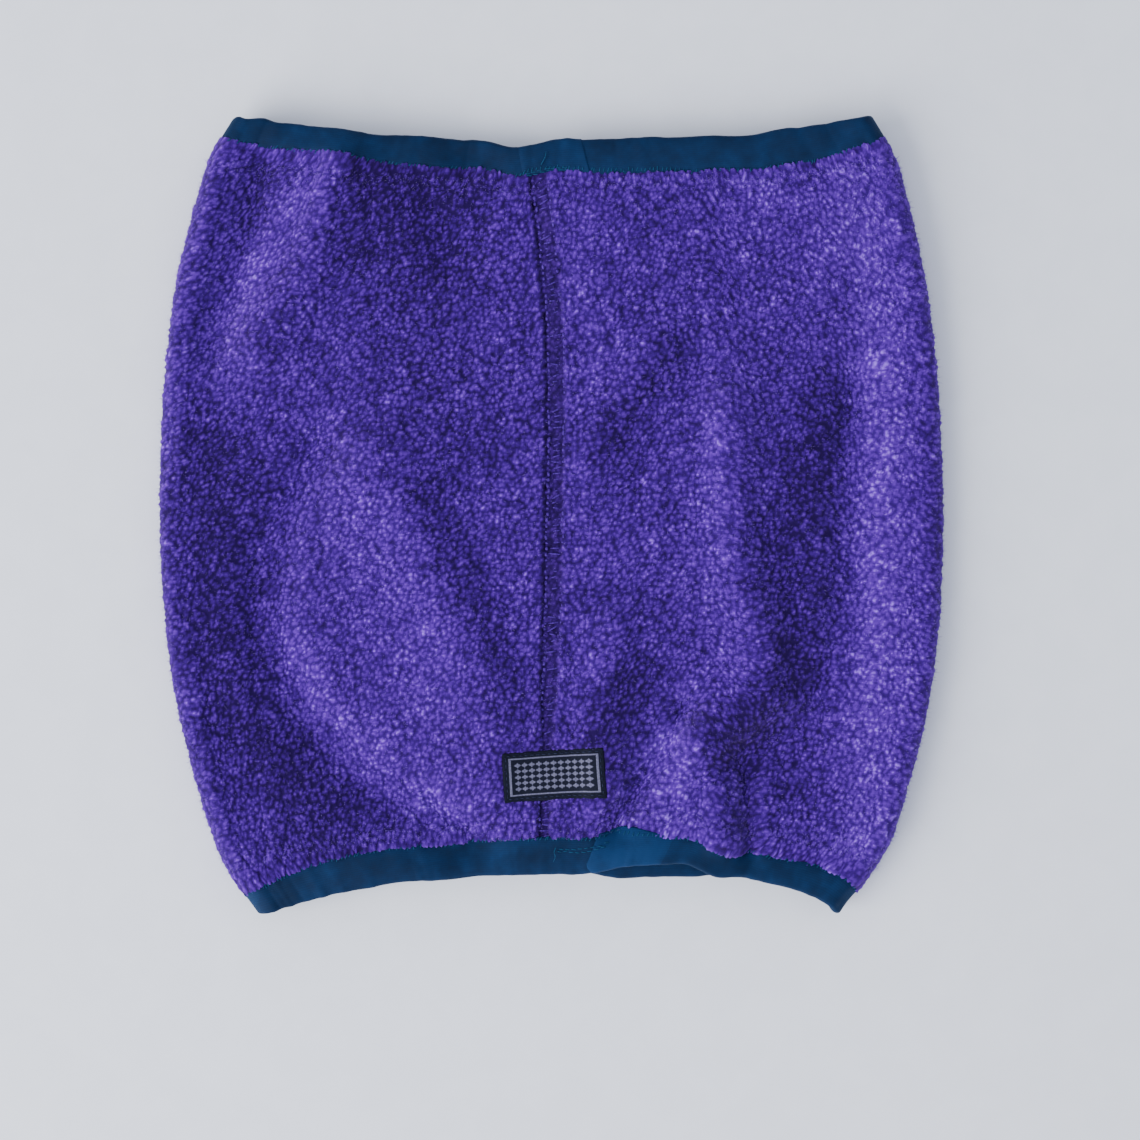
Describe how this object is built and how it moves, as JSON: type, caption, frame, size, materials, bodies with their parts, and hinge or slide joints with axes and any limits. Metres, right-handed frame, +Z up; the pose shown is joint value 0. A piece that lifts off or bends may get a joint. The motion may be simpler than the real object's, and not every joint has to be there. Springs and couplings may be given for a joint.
{
  "type": "neck gaiter",
  "caption": "Soft napped fleece neck tube lying flat, closed by a flat front seam, with a stretch tape bound over each hem and a small woven label.",
  "frame": {"origin": "middle of the underside of the tube as it lies flat, on the surface it lies on", "axes": "+X across the tube towards the side at the viewer's right with the seam upwards, +Y from the lower hem, near the label, to the upper hem, +Z up from the surface"},
  "size_m": [0.2674, 0.2664, 0.0161],
  "materials": {
    "fleece": "violet napped fleece, pebbled pile",
    "stretch_tape": "dark teal smooth knitted stretch tape, slight sheen",
    "label_weave": "very dark navy woven label",
    "label_thread": "dark spun thread",
    "seam_thread": "dark violet textured thread",
    "tape_thread": "teal spun thread"
  },
  "bodies": {
    "root": {"fleece_panel": "fleece", "top_binding": "stretch_tape", "bottom_binding": "stretch_tape", "woven_label": "label_weave", "label_stitching": "label_thread", "seam_needle_thread_left": "seam_thread", "seam_needle_thread_right": "seam_thread", "seam_cover_thread": "seam_thread", "seam_looper_thread": "seam_thread", "top_binding_needle_thread": "tape_thread", "top_binding_looper_thread": "tape_thread", "top_join_tack": "tape_thread", "bottom_binding_needle_thread": "tape_thread", "bottom_binding_looper_thread": "tape_thread", "bottom_join_tack": "tape_thread"}
  },
  "joints": []
}
